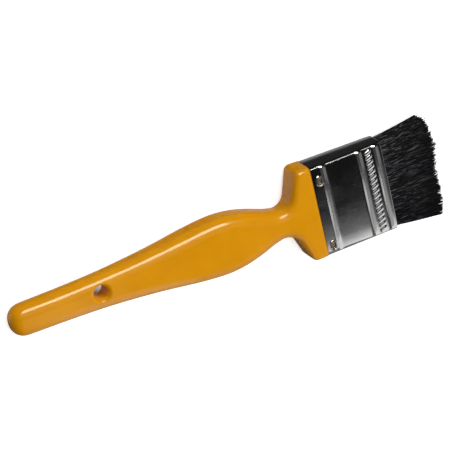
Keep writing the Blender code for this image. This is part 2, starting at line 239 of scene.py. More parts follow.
CARDS = (  # (name, left, right, ramps, length of its fade-in)
    ("card_right", 0.115, 0.272, ((0.345, 0.295, 0.15), (0.275, 0.19, 0.85)), 0.02),
    ("card_end", 0.272, 0.42, ((0.30, 0.19, 0.48),), 0.005),
    ("card_left", -0.07, 0.003, ((0.402, 0.368, 0.85), (0.350, 0.322, -0.35), (0.285, 0.255, 0.4)), 0.01),
)
PANELS = (  # (direction, where the panel starts and where it is full, as cosines, radiance)
    ((0.408, -0.875, 0.259), (0.69, 0.82), 0.30), ((0.94, -0.20, 0.28), (0.72, 0.95), 0.27),
    ((-0.45, -0.40, 0.80), (0.82, 0.95), 0.08), ((-0.017, 0.397, 0.917), (0.93, 0.98), 0.60),
    ((0.282, 0.694, 0.663), (0.985, 0.995), 1.5),
)
ROOM_RADIANCE = 0.012  # between the panels


# ---- curves, rings and solids

def curve_value(knots, station):
    """Smooth value through (station, value) knots in millimetres, by cubic Hermite pieces."""
    x = station / MM
    if x <= knots[0][0]:
        return knots[0][1] * MM
    if x >= knots[-1][0]:
        return knots[-1][1] * MM
    slopes = []
    for i in range(len(knots)):
        before = knots[max(i - 1, 0)]
        after = knots[min(i + 1, len(knots) - 1)]
        slopes.append((after[1] - before[1]) / (after[0] - before[0]))
    for i in range(1, len(knots)):
        if knots[i][1] == knots[i - 1][1]:
            slopes[i] = slopes[i - 1] = 0.0
    i = max(k for k in range(len(knots) - 1) if knots[k][0] <= x)
    (x0, y0), (x1, y1) = knots[i], knots[i + 1]
    span = x1 - x0
    t = (x - x0) / span
    value = (
        y0 * (2 * t**3 - 3 * t**2 + 1) + y1 * (3 * t**2 - 2 * t**3)
        + span * slopes[i] * (t**3 - 2 * t**2 + t) + span * slopes[i + 1] * (t**3 - t**2)
    )
    return value * MM


def fillet(before, corner, after, radius, steps):
    """Points of the arc that rounds a corner of a polyline."""
    before, corner, after = Vector(before), Vector(corner), Vector(after)
    to_before = (before - corner).normalized()
    to_after = (after - corner).normalized()
    half_angle = to_before.angle(to_after) / 2
    reach = radius / math.tan(half_angle)
    centre = corner + (to_before + to_after).normalized() * radius / math.sin(half_angle)
    start = corner + to_before * reach - centre
    turn = start.angle_signed(corner + to_after * reach - centre)
    return [tuple(centre + Matrix.Rotation(-turn * k / steps, 2) @ start) for k in range(steps + 1)]


def handle_outline(tail_steps=26, grip_steps=170, arc_steps=16):
    """(x, half width) points of half the handle's outline, from the tail's tip to the ferrule."""
    tail = -HANDLE_LENGTH - TAIL_EXTRA
    tail_end = tail + TAIL_ROUNDING
    tail_width = curve_value(HANDLE_WIDTHS, tail_end)
    neck = HANDLE_WIDTHS[-1][0] * MM
    points = []
    for k in range(tail_steps):
        angle = k / tail_steps * math.pi / 2
        x = tail + TAIL_ROUNDING * (1 - math.cos(angle) ** TAIL_SQUARENESS)
        points.append((x, tail_width * math.sin(angle) ** TAIL_SQUARENESS))
    for k in range(grip_steps + 1):
        x = tail_end + (neck - tail_end) * k / grip_steps
        points.append((x, curve_value(HANDLE_WIDTHS, x)))
    end = (0.0, FERRULE_WIDTH / 2)
    points += fillet(points[-1], NECK_CORNER, SHOULDER_CORNER, NECK_FILLET_RADIUS, arc_steps)
    points += fillet(NECK_CORNER, SHOULDER_CORNER, end, SHOULDER_RADIUS, arc_steps)
    shoulder_end = points[-1][0]
    for share in (0.35, 0.7):
        points.append((shoulder_end * (1 - share) - END_ROUNDING * share, FERRULE_WIDTH / 2))
    points.append((-END_ROUNDING, FERRULE_WIDTH / 2))
    return points


def outline_normal(points, i):
    """Outward unit normal of the +Y half of the outline at point i."""
    if i == 0:
        return Vector((-1.0, 0.0))
    if i == len(points) - 1:
        return Vector((0.0, 1.0))
    along = Vector(points[i + 1]) - Vector(points[i - 1])
    return Vector((-along.y, along.x)).normalized()


def edge_section(x, y, normal, radius, half_thickness_at, arc_steps=14, face_steps=12):
    """One closed ring of the handle: rounded edges that lean along the outline's normal, and flat faces."""
    sway = curve_value(HANDLE_SWAY, x)
    y = max(y - sway, 0.0)
    quarter = []
    for k in range(arc_steps + 1):
        angle = k / arc_steps * math.pi / 2
        inset = radius * (1 - math.cos(angle))
        px = x - normal.x * inset
        py = y - normal.y * inset
        quarter.append((px, py, half_thickness_at(px) - radius * (1 - math.sin(angle))))
    top_x, top_y, top_z = quarter[-1]
    across = [(top_x, top_y * (1 - 2 * k / face_steps), top_z) for k in range(1, face_steps)]
    upper = quarter + across + [(px, -py, pz) for px, py, pz in reversed(quarter)]
    upper = [(px, py - sway, pz) for px, py, pz in upper]
    return upper + [(px, py, -pz) for px, py, pz in reversed(upper)]


def placed(point):
    """A point given from the ferrule's edge and the mid plane, moved into the frame."""
    return (point[0] + ORIGIN_X, point[1], point[2] + CENTRE_Z)


def add_object(name, mesh, material):
    """A scene object with this mesh and material."""
    mesh.materials.append(material)
    obj = bpy.data.objects.new(name, mesh)
    bpy.context.scene.collection.objects.link(obj)
    return obj


def loft(name, rings, material, caps=(True, True), closed_tube=False, sharp=HANDLE_SHARP):
    """A smooth-shaded solid through rings with the same number of points."""
    mesh = bpy.data.meshes.new(name)
    bm = bmesh.new()
    loops = [[bm.verts.new(placed(p)) for p in ring] for ring in rings]
    count = len(rings[0])
    pairs = list(zip(loops, loops[1:]))
    if closed_tube:
        pairs.append((loops[-1], loops[0]))
    for first, second in pairs:
        for k in range(count):
            n = (k + 1) % count
            bm.faces.new((first[k], first[n], second[n], second[k]))
    if not closed_tube:
        if caps[0]:
            bm.faces.new(list(reversed(loops[0])))
        if caps[1]:
            bm.faces.new(loops[-1])
    bmesh.ops.remove_doubles(bm, verts=bm.verts, dist=1e-7)
    bmesh.ops.recalc_face_normals(bm, faces=bm.faces)
    bm.to_mesh(mesh)
    bm.free()
    obj = add_object(name, mesh, material)
    set_shading(obj, sharp)
    return obj


def set_shading(obj, sharp):
    """Smooth shading, with edges sharper than this many degrees left sharp."""
    obj.data.shade_smooth()
    obj.data.set_sharp_from_angle(angle=math.radians(sharp))


def cut(obj, cutter):
    """Cuts the cutter out of a piece, keeps the result as its mesh, and deletes the cutter."""
    modifier = obj.modifiers.new("cut", "BOOLEAN")
    modifier.operation = "DIFFERENCE"
    modifier.solver = "EXACT"
    modifier.object = cutter
    graph = bpy.context.evaluated_depsgraph_get()
    result = bpy.data.meshes.new_from_object(obj.evaluated_get(graph))
    obj.modifiers.clear()
    obj.data = result
    bpy.data.objects.remove(cutter, do_unlink=True)


# ---- materials

def new_material(name):
    """A material, its node tree and its shader."""
    material = bpy.data.materials.new(name)
    material.use_nodes = True
    return material, material.node_tree, material.node_tree.nodes["Principled BSDF"]


def object_noise(tree, scale, detail=2.0, roughness=0.5, stretch=(1, 1, 1), turn=0.0):
    """Noise in the frame's own coordinates; scale is in cells for each metre, turn in radians about Z."""
    place = tree.nodes.new("ShaderNodeTexCoord")
    mapping = tree.nodes.new("ShaderNodeMapping")
    mapping.inputs["Rotation"].default_value = (0.0, 0.0, turn)
    mapping.inputs["Scale"].default_value = stretch
    noise = tree.nodes.new("ShaderNodeTexNoise")
    noise.inputs["Scale"].default_value = scale
    noise.inputs["Detail"].default_value = detail
    noise.inputs["Roughness"].default_value = roughness
    tree.links.new(place.outputs["Object"], mapping.inputs["Vector"])
    tree.links.new(mapping.outputs["Vector"], noise.inputs["Vector"])
    return noise.outputs["Fac"]


def map_range(tree, value, from_range, to_range, smooth=False):
    """Maps a socket from one range to another, held at its ends."""
    node = tree.nodes.new("ShaderNodeMapRange")
    if smooth:
        node.interpolation_type = "SMOOTHSTEP"
    node.inputs["From Min"].default_value, node.inputs["From Max"].default_value = from_range
    node.inputs["To Min"].default_value, node.inputs["To Max"].default_value = to_range
    tree.links.new(value, node.inputs["Value"])
    return node.outputs["Result"]


def mix_colour(tree, share, first, second):
    """Mixes two colours, each a tuple or a socket, by a share socket."""
    node = tree.nodes.new("ShaderNodeMix")
    node.data_type = "RGBA"
    tree.links.new(share, node.inputs["Factor"])
    for socket, colour in ((node.inputs[6], first), (node.inputs[7], second)):
        if isinstance(colour, tuple):
            socket.default_value = (*colour, 1.0)
        else:
            tree.links.new(colour, socket)
    return node.outputs[2]


def maths(tree, operation, first, second):
    """The result of an operation on two values, each a number or a socket."""
    node = tree.nodes.new("ShaderNodeMath")
    node.operation = operation
    for socket, value in zip(node.inputs, (first, second)):
        if isinstance(value, (int, float)):
            socket.default_value = value
        else:
            tree.links.new(value, socket)
    return node.outputs[0]


def total_of(tree, operation, values):
    """One socket from several, by an operation such as ADD or MAXIMUM."""
    total = values[0]
    for value in values[1:]:
        total = maths(tree, operation, total, value)
    return total


def vector_maths(tree, operation, vector, other):
    """A vector node on a vector socket and a fixed vector."""
    node = tree.nodes.new("ShaderNodeVectorMath")
    node.operation = operation
    tree.links.new(vector, node.inputs[0])
    node.inputs[1].default_value = other
    return node


def axes(tree, vector):
    """The X, Y and Z sockets of a vector socket, by name."""
    split = tree.nodes.new("ShaderNodeSeparateXYZ")
    tree.links.new(vector, split.inputs["Vector"])
    return split.outputs


def bump(tree, shader, layers):
    """Stacks (height socket, strength, distance) bump layers on a shader."""
    normal = None
    for height, strength, distance in layers:
        node = tree.nodes.new("ShaderNodeBump")
        node.inputs["Strength"].default_value = strength
        node.inputs["Distance"].default_value = distance
        tree.links.new(height, node.inputs["Height"])
        if normal:
            tree.links.new(normal, node.inputs["Normal"])
        normal = node.outputs["Normal"]
    tree.links.new(normal, shader.inputs["Normal"])
    if "Coat Normal" in shader.inputs:
        tree.links.new(normal, shader.inputs["Coat Normal"])


def lacquer_material():
    """Yellow-orange gloss lacquer over wood, with faint grain and orange peel, and painted light on the hang
    hole's wall.
    """
    material, tree, shader = new_material("lacquer")
    tone = object_noise(tree, 60, detail=3)
    grain = object_noise(tree, 900, detail=3, stretch=(0.06, 1, 1))
    base = mix_colour(tree, map_range(tree, tone, (0.35, 0.65), (0, 1)),
                      (0.685, 0.276, 0.0008), (0.725, 0.298, 0.0014))
    base = mix_colour(tree, map_range(tree, grain, (0.55, 0.75), (0, 0.08)),
                      base, (0.56, 0.20, 0.004))
    # the wall of the hang hole, found by the distance from the hole's axis: its colour is painted lighter and
    # more orange than the face, as painted light, and its coat is thinner
    place = tree.nodes.new("ShaderNodeTexCoord").outputs["Object"]
    flat = vector_maths(tree, "MULTIPLY", place, (1, 1, 0)).outputs["Vector"]
    hole = (HANDLE_LOW.x + HANG_HOLE_FROM_TAIL, HANG_HOLE_Y, 0)
    radius = vector_maths(tree, "DISTANCE", flat, hole).outputs["Value"]
    wall = (HANG_HOLE_RADIUS + 0.05 * MM, HANG_HOLE_RADIUS + 0.45 * MM)
    inside = map_range(tree, radius, wall, (1, 0), smooth=True)
    base = mix_colour(tree, inside, base, (0.86, 0.40, 0.006))
    # the colour darkens over the last fraction of a millimetre before the seam with the ferrule
    edge = (ORIGIN_X - 0.7 * MM, ORIGIN_X - 0.1 * MM)
    seam = map_range(tree, axes(tree, place)["X"], edge, (0, 0.8))
    base = mix_colour(tree, seam, base, (0.16, 0.05, 0.008))
    tree.links.new(base, shader.inputs["Base Color"])
    smudge = object_noise(tree, 140, detail=4, roughness=0.6)
    tree.links.new(map_range(tree, smudge, (0.3, 0.7), (0.24, 0.34)), shader.inputs["Roughness"])
    shader.inputs["Specular IOR Level"].default_value = 0.05
    tree.links.new(map_range(tree, inside, (0, 1), (1, 0.3)), shader.inputs["Coat Weight"])
    shader.inputs["Coat IOR"].default_value = 1.45
    tree.links.new(map_range(tree, smudge, (0.3, 0.7), (0.12, 0.16)), shader.inputs["Coat Roughness"])
    peel = object_noise(tree, 420, detail=2)
    bump(tree, shader, ((grain, 0.05, 0.0002), (peel, 0.10, 0.0003)))
    return material


def nickel_material():
    """Bright nickel plate with fine scratches, dull smudges and dust."""
    material, tree, shader = new_material("nickel")
    shader.inputs["Metallic"].default_value = 1.0
    cloud = object_noise(tree, 90, detail=4, roughness=0.6)
    speck = object_noise(tree, 1500, detail=2)
    lines = []
    for turn, scale in ((0.35, 1500), (1.25, 1900), (2.3, 1300)):
        line = object_noise(tree, scale, stretch=(0.08, 1, 1), turn=turn)
        lines.append(map_range(tree, line, (0.66, 0.74), (0, 1), smooth=True))
    scratches = total_of(tree, "MAXIMUM", lines)
    base = mix_colour(tree, map_range(tree, cloud, (0.3, 0.7), (0, 1)),
                      (0.60, 0.595, 0.60), (0.70, 0.69, 0.68))
    tree.links.new(base, shader.inputs["Base Color"])
    rough = map_range(tree, cloud, (0.35, 0.75), (0.07, 0.15))
    rough = maths(tree, "ADD", rough, maths(tree, "MULTIPLY", scratches, 0.07))
    tree.links.new(rough, shader.inputs["Roughness"])
    bump(tree, shader, ((cloud, 0.05, 0.0006), (scratches, 0.04, 0.00003), (speck, 0.03, 0.0001)))
    return material


def brass_material():
    """Dull brass of the nail heads, darker in its pits."""
    material, tree, shader = new_material("brass")
    shader.inputs["Metallic"].default_value = 0.9
    stain = object_noise(tree, 900, detail=4)
    base = mix_colour(tree, map_range(tree, stain, (0.35, 0.65), (0, 1)),
                      (0.34, 0.24, 0.12), (0.62, 0.50, 0.32))
    tree.links.new(base, shader.inputs["Base Color"])
    tree.links.new(map_range(tree, stain, (0.3, 0.7), (0.45, 0.3)), shader.inputs["Roughness"])
    bump(tree, shader, ((stain, 0.25, 0.0002),))
    return material


def bristle_material():
    """Black bristle with lighter streaks along the strands, partly random strand tone and partly painted
    sheen.
    """
    material, tree, shader = new_material("bristle")
    strand = object_noise(tree, 2600, detail=3, stretch=(0.035, 1, 1))
    streak = map_range(tree, strand, (0.54, 0.68), (0, 1), smooth=True)
    # painted sheen: the lighter streaks are made strongest near the ferrule and towards +Y, where the light
    # falls
    place = axes(tree, tree.nodes.new("ShaderNodeTexCoord").outputs["Object"])
    along = map_range(tree, place["X"], (TUFT_LOW.x, TUFT_HIGH.x), (1.6, 0.3))
    across = map_range(tree, place["Y"], (-20 * MM, 12 * MM), (0.3, 1.0))
    streak = maths(tree, "MULTIPLY", streak, maths(tree, "MULTIPLY", along, across))
    base = mix_colour(tree, streak, (0.0034, 0.0029, 0.0044), (0.14, 0.13, 0.145))
    tree.links.new(base, shader.inputs["Base Color"])
    tree.links.new(map_range(tree, streak, (0, 1), (0.55, 0.32)), shader.inputs["Roughness"])
    tree.links.new(map_range(tree, streak, (0, 1), (0.12, 0.8)), shader.inputs["Specular IOR Level"])
    fine = object_noise(tree, 5000, detail=1, stretch=(0.25, 1, 1))
    bump(tree, shader, ((fine, 0.2, 0.00005),))
    return material


def resin_material():
    """Amber setting resin with clouds and bubbles."""
    material, tree, shader = new_material("resin")
    cloud = object_noise(tree, 200, detail=4)
    base = mix_colour(tree, map_range(tree, cloud, (0.3, 0.7), (0, 1)),
                      (0.42, 0.24, 0.07), (0.62, 0.42, 0.16))
    tree.links.new(base, shader.inputs["Base Color"])
    tree.links.new(map_range(tree, cloud, (0.3, 0.7), (0.25, 0.4)), shader.inputs["Roughness"])
    bump(tree, shader, ((cloud, 0.3, 0.0005),))
    return material


def wood_material():
    """Bare softwood of the filler strip, with its grain along the width."""
    material, tree, shader = new_material("bare_wood")
    grain = object_noise(tree, 1400, detail=5, stretch=(1, 0.05, 1))
    base = mix_colour(tree, map_range(tree, grain, (0.35, 0.65), (0, 1)),
                      (0.45, 0.29, 0.14), (0.68, 0.50, 0.30))
    tree.links.new(base, shader.inputs["Base Color"])
    shader.inputs["Roughness"].default_value = 0.7
    bump(tree, shader, ((grain, 0.3, 0.0003),))
    return material


def floor_material():
    """Plain white studio sweep, bright enough that it hardly shows a shadow, with a painted shadow under the
    hang hole.
    """
    material, tree, shader = new_material("floor")
    place = tree.nodes.new("ShaderNodeTexCoord").outputs["Object"]
    # a painted shadow under the hang hole: the floor's colour and glow darken towards this point
    darkest = (HANDLE_LOW.x + HANG_HOLE_FROM_TAIL + HOLE_SHADE_OFFSET[0], HOLE_SHADE_OFFSET[1], 0.0)
    from_hole = vector_maths(tree, "DISTANCE", place, darkest).outputs["Value"]
    open_floor = map_range(tree, from_hole, HOLE_SHADE_RANGE, (0, 1))
    tone = object_noise(tree, 3, detail=2)
    base = mix_colour(tree, tone, (0.80, 0.80, 0.80), (0.84, 0.84, 0.84))
    base = mix_colour(tree, open_floor, (0.10, 0.06, 0.05), base)
    tree.links.new(base, shader.inputs["Base Color"])
    shader.inputs["Roughness"].default_value = 0.9
    shader.inputs["Specular IOR Level"].default_value = 0.0
    shader.inputs["Emission Color"].default_value = (1, 1, 1, 1)
    # the sweep brightens with distance, so that no horizon shows
    from_centre = vector_maths(tree, "DISTANCE", place, (0, 0, 0)).outputs["Value"]
    glow = map_range(tree, from_centre, FAR_RANGE, (FLOOR_GLOW, FAR_GLOW))
    # the glow also fades in the painted shadow under the hang hole
    glow = maths(tree, "MULTIPLY", glow, open_floor)
    rays = tree.nodes.new("ShaderNodeLightPath")
    seen_glow = maths(tree, "MULTIPLY", rays.outputs["Is Camera Ray"], glow)
    tree.links.new(seen_glow, shader.inputs["Emission Strength"])
    return material


# ---- handle

def make_handle(material):
    """The lacquered handle with its hang hole, its tenon and the bores for the nails."""
    outline = handle_outline()
    rings = []
    for i, (x, y) in enumerate(outline):
        radius = curve_value(HANDLE_EDGE_RADII, x)
        rings.append(edge_section(x, y, outline_normal(outline, i), radius,
                                  lambda px: curve_value(HANDLE_THICKNESSES, px)))
    sideways = Vector((0.0, 1.0))
    for k in range(1, END_STEPS + 1):  # a small rounding into the seam with the ferrule
        angle = k / END_STEPS * math.pi / 2
        inset = END_ROUNDING * (1 - math.cos(angle))
        x = -END_ROUNDING * (1 - math.sin(angle))
        rings.append(edge_section(x, FERRULE_WIDTH / 2 - inset, sideways, FERRULE_CORNER_RADIUS - inset,
                                  lambda px, i=inset: curve_value(HANDLE_THICKNESSES, px) - i))
    for x in (0.0, TENON_LENGTH):
        inset = FERRULE_SHEET + GAP
        half = ferrule_half_thickness(x) - inset - TENON_SLACK
        rings.append(edge_section(x, FERRULE_WIDTH / 2 - inset, sideways, FERRULE_CORNER_RADIUS - inset,
                                  lambda px, h=half: h))
    handle = loft("handle_lacquered", rings, material, caps=(False, True))
    cut(handle, hang_hole_cutter(material))
    bore = 2 * (NAIL_SHANK_RADIUS + GAP)
    bottom = FERRULE_BACK_THICKNESS / 2 - NAIL_LENGTH - 2 * GAP
    for name, side, y in NAILS:
        levels = sorted((side * CUTTER_REACH, side * bottom))
        rings = [oval_ring(NAIL_STATION, y, z, bore + NEARLY_ROUND, bore) for z in levels]
        cut(handle, loft(f"bore_{name}", rings, material))
    set_shading(handle, HANDLE_SHARP)
    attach(handle, "brush")
    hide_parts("handle")


def surface_z(x, y):
    """Height of the handle's upper surface above the mid plane, near the hang hole."""
    radius = curve_value(HANDLE_EDGE_RADII, x)
    half = curve_value(HANDLE_WIDTHS, x)
    into_edge = max(abs(y) - (half - radius), 0.0) / radius
    drop = radius * (1 - math.sqrt(max(1 - into_edge**2, 0.0)))
    return curve_value(HANDLE_THICKNESSES, x) - drop


def hang_hole_cutter(material, around=96, lip_steps=8):
    """A cutter for the hang hole that flares at both faces, which leaves a rounded lip."""
    centre = HANG_HOLE_FROM_TAIL - HANDLE_LENGTH
    rings = []
    levels = [(1, k) for k in range(lip_steps + 1)]
    levels += [(-1, k) for k in range(lip_steps, -1, -1)]
    for side, k in levels:
        # from the surface, round to the straight wall below it
        angle = math.radians(LIP_START + (90 - LIP_START) * k / lip_steps)
        radius = HANG_HOLE_RADIUS + HANG_HOLE_LIP * (1 - math.sin(angle))
        depth = HANG_HOLE_LIP * (1 - math.cos(angle))
        ring = []
        for j in range(around):
            turn = 2 * math.pi * j / around
            x = centre + radius * math.cos(turn)
            y = HANG_HOLE_Y + radius * math.sin(turn)
            ring.append((x, y, side * (surface_z(x, y) - depth)))
        rings.append(ring)
    for index, side in ((0, 1), (-1, -1)):  # straight out past the surface
        outer = [(centre + (x - centre) * CUTTER_FLARE, y * CUTTER_FLARE, side * CUTTER_REACH)
                 for x, y, z in rings[index]]
        rings.insert(0 if index == 0 else len(rings), outer)
    return loft("hang_hole_cutter", rings, material)


# ---- ferrule and nails

def ferrule_half_thickness(x):
    """Half the ferrule's thickness, which tapers from the handle to the mouth."""
    share = min(max(x / FERRULE_LENGTH, 0.0), 1.0)
    return (FERRULE_BACK_THICKNESS * (1 - share) + FERRULE_MOUTH_THICKNESS * share) / 2


def bead_height(x):
    """How far the beads stand proud at a station: each rises steeply and falls away more gently."""
    height = 0.0
    for crest in BEAD_STATIONS:
        offset = (x - crest) / BEAD_FALL if x > crest else (crest - x) / BEAD_RISE
        if offset < 1:
            height += BEAD_HEIGHT * (1 - offset) ** 1.1
    return height


def rope_height(x, y):
    """Height of the slanted ridges: each is a long rounded boss with blunt ends."""
    height = 0.0
    nearest = round(y / ROPE_PITCH)
    for ridge in (nearest - 1, nearest, nearest + 1):
        if abs(ridge) > ROPE_RIDGES // 2:
            continue
        dx = x - ROPE_STATION
        dy = y - ridge * ROPE_PITCH
        along = dx * math.cos(ROPE_SLANT) + dy * math.sin(ROPE_SLANT)
        across = -dx * math.sin(ROPE_SLANT) + dy * math.cos(ROPE_SLANT)
        reach = math.sqrt((abs(along) / ROPE_HALF_LENGTH) ** 4 + (abs(across) / ROPE_HALF_WIDTH) ** 2)
        if reach < 1:
            rise = min((1 - reach) / ROPE_SHOULDER, 1.0)
            height = max(height, ROPE_HEIGHT * rise * rise * (3 - 2 * rise))
    return height


def seat_height(x, y):
    """Raised rim round each nail's oval seat."""
    for centre in (NAIL_UPPER_Y, NAIL_LOWER_Y):
        straight = (NAIL_HEAD_LENGTH - NAIL_HEAD_WIDTH) / 2
        dy = max(abs(y - centre) - straight, 0.0)
        from_edge = math.hypot(x - NAIL_STATION, dy) - NAIL_HEAD_WIDTH / 2 - GAP
        offset = (from_edge - SEAT_RIM_WIDTH / 2) / SEAT_RIM_WIDTH
        if abs(offset) < 1:
            return SEAT_RIM_HEIGHT * (0.5 + 0.5 * math.cos(offset * math.pi))
    return 0.0


def ferrule_stations():
    """Stations of the outer surface's rings, in order and none too close to the one before."""
    stations = {GAP * 0.2, GAP, 0.6 * MM, 1.0 * MM, FERRULE_LENGTH - MOUTH_ROLL}
    for start, step, count in (SEAT_STATIONS, PLAIN_STATIONS):
        stations |= {start + k * step for k in range(count)}
    for crest in BEAD_STATIONS:
        stations |= {crest - BEAD_RISE * share for share in BEAD_RISE_SHARES}
        stations |= {crest + BEAD_FALL * share for share in BEAD_FALL_SHARES}
    stations |= {ROPE_STATION + k / ROPE_STEPS * ROPE_SPAN for k in range(-ROPE_STEPS, ROPE_STEPS + 1)}
    ordered = sorted(s for s in stations if s <= FERRULE_LENGTH - MOUTH_ROLL)
    spaced = [ordered[0]]
    for station in ordered[1:]:
        if station - spaced[-1] > LEAST_SPACING:
            spaced.append(station)
    return spaced


def ferrule_profile(half_width, half_thickness, radius, arc_steps=12, face_step=0.2 * MM, side_steps=8):
    """(y, z, facing) round the ferrule; facing is 1 on the faces and fades to 0 round the corners."""
    face_count = max(int(2 * (half_width - radius) / face_step), 8)
    points = []
    for side in (1, -1):
        for k in range(side_steps):
            z = (half_thickness - radius) * (2 * k / side_steps - 1)
            points.append((side * half_width, side * z, 0.0))
        for k in range(arc_steps):
            angle = k / arc_steps * math.pi / 2
            y = half_width - radius * (1 - math.cos(angle))
            z = half_thickness - radius * (1 - math.sin(angle))
            points.append((side * y, side * z, math.sin(angle) ** 2))
        for k in range(face_count):
            y = (half_width - radius) * (1 - 2 * k / face_count)
            points.append((side * y, side * half_thickness, 1.0))
        for k in range(arc_steps):
            angle = k / arc_steps * math.pi / 2
            y = -half_width + radius * (1 - math.sin(angle))
            z = half_thickness - radius * (1 - math.cos(angle))
            points.append((side * y, side * z, math.cos(angle) ** 2))
    return points


def ferrule_ring(x, inset=0.0, relief=True):
    """One closed ring of the ferrule at a station, with or without its beads, ridges and seats."""
    flat = ferrule_half_thickness(x)
    half = flat - inset
    ring = []
    profile = ferrule_profile(FERRULE_WIDTH / 2, flat, FERRULE_CORNER_RADIUS)
    shrink_y = (FERRULE_WIDTH / 2 - inset) / (FERRULE_WIDTH / 2)
    for y, z, facing in profile:
        side = math.copysign(1.0, z)
        height = bead_height(x) + seat_height(x, y) + rope_height(x, y) if relief else 0.0
        fall = CROWN * (2 * y / FERRULE_WIDTH) ** 4
        bulge = SIDE_BULGE * (z / flat) ** 2 * (1 - facing)
        ring_y = y * shrink_y - math.copysign(bulge, y)
        ring.append((x, ring_y, z * half / flat + side * (height - fall) * facing))
    return ring


def make_ferrule(material):
    """The plated sheet with its beads, rope band, rolled mouth and nail seats."""
    outer = [ferrule_ring(x) for x in ferrule_stations()]
    roll = []
    for k in range(1, MOUTH_STEPS + 1):  # the mouth's edge is rolled inwards
        angle = k / MOUTH_STEPS * math.pi / 2
        inset = MOUTH_TURN_IN * (1 - math.cos(angle))
        x = FERRULE_LENGTH - MOUTH_ROLL * (1 - math.sin(angle))
        roll.append(ferrule_ring(x, inset=inset, relief=False))
    inner = [ferrule_ring(x, inset=FERRULE_SHEET, relief=False)
             for x in (FERRULE_LENGTH - 0.05 * MM, FERRULE_LENGTH - 1.5 * MM, FERRULE_LENGTH / 2, GAP)]
    ferrule = loft("ferrule_plated", outer + roll + inner, material, closed_tube=True, sharp=FERRULE_SHARP)
    for name, side, y in NAILS:
        levels = sorted((side * SEAT_CUT_START, side * CUTTER_REACH))
        rings = [oval_ring(NAIL_STATION, y, z, NAIL_HEAD_LENGTH + 2 * GAP, NAIL_HEAD_WIDTH + 2 * GAP)
                 for z in levels]
        cut(ferrule, loft(f"seat_{name}", rings, material))
    set_shading(ferrule, FERRULE_SHARP)
    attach(ferrule, "brush")
    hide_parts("ferrule")


def oval_ring(x, y, z, length, width, arc_steps=18):
    """A stadium-shaped ring in the plane of the face, long across the brush."""
    radius = width / 2
    ring = []
    for side, start in ((1, 0), (-1, 180)):
        for k in range(arc_steps + 1):
            angle = math.radians(start + 180 * k / arc_steps)
            py = y + side * (length / 2 - radius) + radius * math.sin(angle)
            ring.append((x + radius * math.cos(angle), py, z))
    return ring


def make_nails(material):
    """Pins with dished oval heads, two in each face."""
    rim = ferrule_half_thickness(NAIL_STATION) - NAIL_SINK
    shank = 2 * NAIL_SHANK_RADIUS
    pin = ((NAIL_HEAD_THICKNESS, shank), (NAIL_LENGTH - NAIL_TIP_LENGTH, shank), (NAIL_LENGTH, shank / 3))
    for name, side, y in NAILS:
        rings = []
        for depth, inset in NAIL_DISH:
            size = (NAIL_HEAD_LENGTH - 2 * inset * MM, NAIL_HEAD_WIDTH - 2 * inset * MM)
            rings.append(oval_ring(NAIL_STATION, y, side * (rim - depth * MM), *size))
        for depth, width in pin:
            rings.append(oval_ring(NAIL_STATION, y, side * (rim - depth), width + NEARLY_ROUND, width))
        nail = loft(f"nail_{name}_pin", rings, material)
        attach(nail, "brush")
        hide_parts(f"nail_{name}")


# ---- bristles

def strand_roots(random):
    """(y, z) of every strand where it leaves the ferrule, packed in rows inside its mouth."""
    half_y = FERRULE_WIDTH / 2 - FERRULE_SHEET - STRAND_RADIUS
    half_z = FERRULE_MOUTH_THICKNESS / 2 - FERRULE_SHEET - STRAND_RADIUS
    corner = FERRULE_CORNER_RADIUS - FERRULE_SHEET
    rows = int(2 * half_z / (STRAND_SPACING * math.sqrt(3) / 2))
    roots = []
    for row in range(rows + 1):
        z = -half_z + 2 * half_z * row / rows
        columns = int(2 * half_y / STRAND_SPACING)
        for column in range(columns + 1):
            y = -half_y + 2 * half_y * (column + 0.5 * (row % 2)) / columns
            y += random.normal(0, ROOT_JITTER_Y)
            jittered = z + random.normal(0, ROOT_JITTER_Z)
            over_y = max(abs(y) - (half_y - corner), 0.0)
            over_z = max(abs(jittered) - (half_z - corner), 0.0)
            if math.hypot(over_y, over_z) < corner and abs(jittered) < half_z:
                roots.append((y, jittered))
    return np.array(roots)


